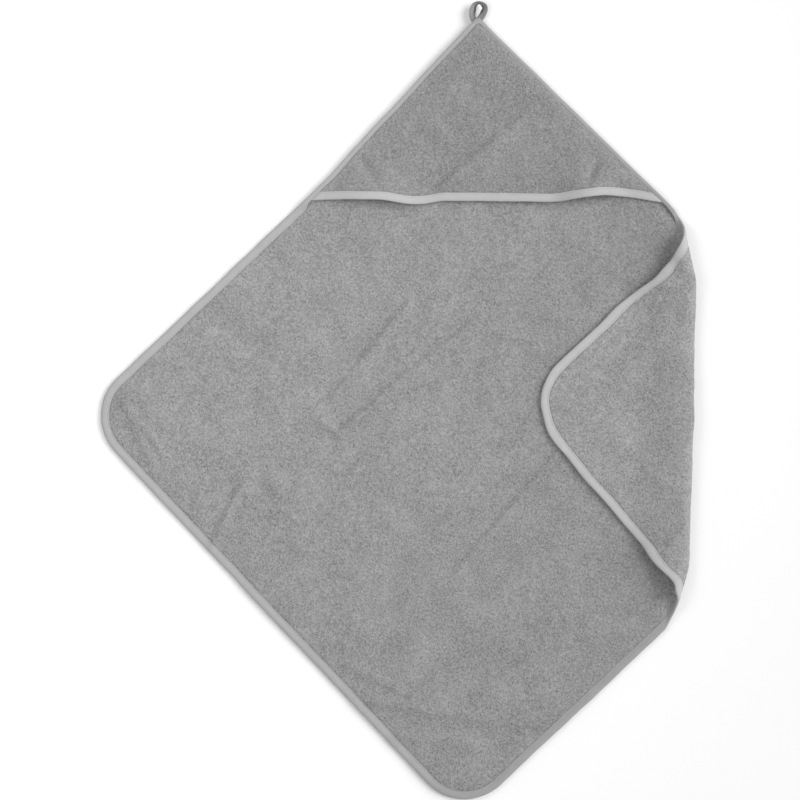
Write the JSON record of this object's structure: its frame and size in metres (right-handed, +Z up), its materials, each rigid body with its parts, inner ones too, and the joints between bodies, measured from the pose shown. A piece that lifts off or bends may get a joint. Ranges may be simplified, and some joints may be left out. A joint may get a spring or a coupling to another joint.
{
  "type": "hooded baby towel",
  "caption": "Square terry bath towel with a triangular hood across one corner, bound edges and a hanging loop; the right corner is folded over.",
  "frame": {"origin": "centre of the footprint, on the surface that the towel lies on", "axes": "+Y towards the hood's apex and its hanging loop, +X towards the folded corner, +Z up from the surface"},
  "size_m": [0.7952, 1.076, 0.0246],
  "materials": {
    "terry": "looped cotton terry pile, matte",
    "binding": "fine jersey tape, matte",
    "loop_tape": "folded jersey tape, matte",
    "thread": "polyester sewing thread, slight sheen"
  },
  "bodies": {
    "towel": {"main_terry": "terry", "right_fold_terry": "terry", "top_edge_binding": "binding", "lower_left_edge_binding": "binding", "lower_right_edge_binding": "binding", "right_fold_lower_binding": "binding", "right_fold_upper_binding": "binding", "top_edge_stitching": "thread", "lower_left_edge_stitching": "thread", "lower_right_edge_stitching": "thread"},
    "right_corner": {"right_corner_terry": "terry", "right_corner_binding": "binding", "right_corner_stitching": "thread"},
    "left_corner": {"left_corner_terry": "terry", "left_corner_binding": "binding", "left_corner_stitching": "thread"},
    "bottom_corner": {"bottom_corner_terry": "terry", "bottom_corner_binding": "binding", "bottom_corner_stitching": "thread"},
    "hood": {"hood_terry": "terry", "hood_edge_binding": "binding", "hood_edge_stitching": "thread"},
    "hang_loop": {"hanging_loop": "loop_tape", "loop_bartack": "thread"}
  },
  "joints": [
    {"name": "right_corner_fold", "type": "hinge", "parent": "towel", "child": "right_corner", "pos_m": [0.38563, -0.02799, 0.012], "axis": [0, 1, 0], "range_deg": [0, 179], "deforming": ["right_fold_terry", "right_fold_lower_binding", "right_fold_upper_binding"]},
    {"name": "left_corner_fold", "type": "hinge", "parent": "towel", "child": "left_corner", "pos_m": [-0.19637, -0.02799, 0.008], "axis": [0, 1, 0], "range_deg": [0, 180]},
    {"name": "bottom_corner_fold", "type": "hinge", "parent": "towel", "child": "bottom_corner", "pos_m": [0.10063, -0.33799, 0.008], "axis": [-1, 0, 0], "range_deg": [0, 180]},
    {"name": "hood_lift", "type": "hinge", "parent": "towel", "child": "hood", "pos_m": [0.10063, 0.4984, 0.0083], "axis": [-1, 0, 0], "range_deg": [0, 20]},
    {"name": "loop_swing", "type": "hinge", "parent": "towel", "child": "hang_loop", "pos_m": [0.09713, 0.50101, 0.0086], "axis": [1, 0, 0], "range_deg": [0, 135]}
  ]
}
